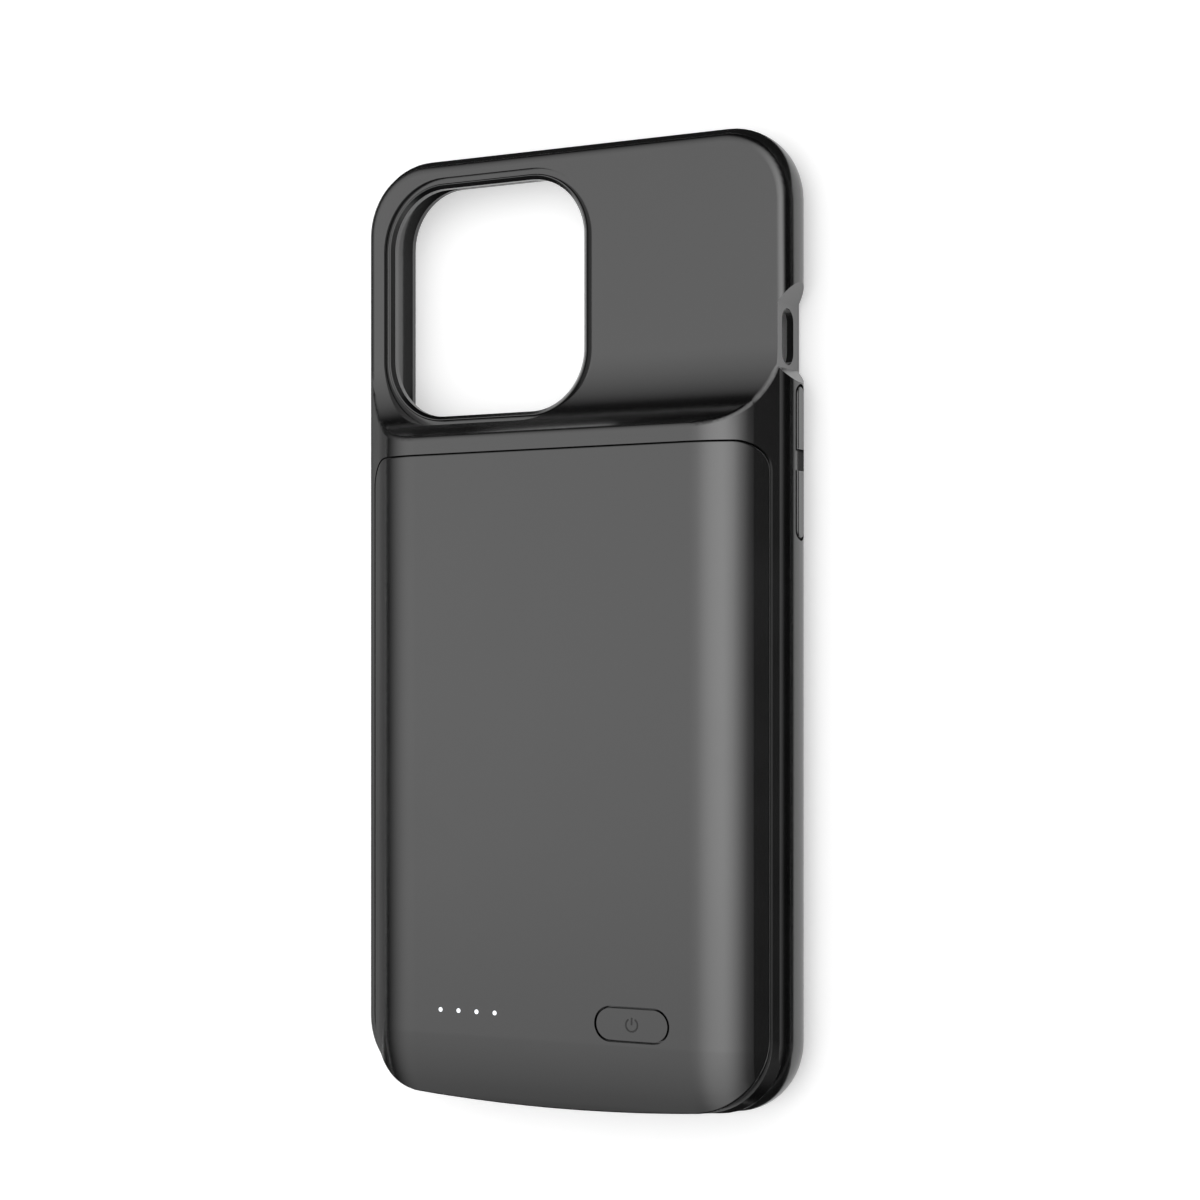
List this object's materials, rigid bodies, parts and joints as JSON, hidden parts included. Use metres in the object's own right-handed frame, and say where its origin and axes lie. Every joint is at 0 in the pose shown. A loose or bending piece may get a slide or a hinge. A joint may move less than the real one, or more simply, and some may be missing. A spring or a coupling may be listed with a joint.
{
  "type": "battery charging case",
  "caption": "Slim handset case with a domed battery back, scooped ramp, corner window, side keys, flush charge button, charge lights, output plug in the pocket and input port below.",
  "frame": {"origin": "centre of the case at the plane of the front lip, on which it lies face down", "axes": "+Z out of the back, +Y to the end with the window, +X to the side with the notch and the volume keys"},
  "size_m": [0.086, 0.1696, 0.0171],
  "materials": {
    "shell_plastic": "satin",
    "cover_plastic": "satin",
    "ring_plastic": "satin",
    "key_plastic": "satin",
    "button_plastic": "satin",
    "light_plastic": "gloss",
    "light_chip": "gloss",
    "board": "satin",
    "chip": "matte",
    "ferrite": "matte",
    "ceramic": "satin",
    "screw_steel": "satin",
    "foil": "satin",
    "tape": "matte",
    "foam": "matte",
    "nickel": "satin",
    "red_lead": "satin",
    "black_lead": "satin",
    "plug_plastic": "satin",
    "plug_metal": "satin",
    "gold": "gloss",
    "port_metal": "satin",
    "port_plastic": "satin",
    "switch_plastic": "matte",
    "switch_stem": "satin"
  },
  "bodies": {
    "case": {"frame_shell": "shell_plastic", "window_ring": "ring_plastic", "back_cover": "cover_plastic", "switch_body": "switch_plastic", "light_guide": "light_plastic", "light_chips": "light_chip", "main_board": "board", "board_screws": "screw_steel", "controller_chip": "chip", "charge_chip": "chip", "power_inductor": "ferrite", "board_capacitors": "ceramic", "battery_tape": "tape", "battery_cell": "foil", "foam_pad": "foam", "protection_board": "board", "cell_tabs": "nickel", "positive_lead": "red_lead", "negative_lead": "black_lead", "plug_riser_board": "board", "plug_blade": "plug_metal", "plug_contacts": "gold", "plug_base": "plug_plastic", "input_port_shell": "port_metal", "input_port_tongue": "port_plastic"},
    "button": {"power_button": "button_plastic", "switch_stem": "switch_stem"},
    "volume_up": {"volume_up_key": "key_plastic"},
    "volume_down": {"volume_down_key": "key_plastic"},
    "side": {"side_key": "key_plastic"}
  },
  "joints": [
    {"name": "power_button_press", "type": "slide", "parent": "case", "child": "button", "axis": [0, 0, -1], "range_m": [0, 0.0003], "stiffness_N_per_m": 2000},
    {"name": "volume_up_press", "type": "slide", "parent": "case", "child": "volume_up", "axis": [-1, 0, 0], "range_m": [0, 0.0003], "stiffness_N_per_m": 2000},
    {"name": "volume_down_press", "type": "slide", "parent": "case", "child": "volume_down", "axis": [-1, 0, 0], "range_m": [0, 0.0003], "stiffness_N_per_m": 2000},
    {"name": "side_key_press", "type": "slide", "parent": "case", "child": "side", "axis": [1, 0, 0], "range_m": [0, 0.0003], "stiffness_N_per_m": 2000}
  ]
}
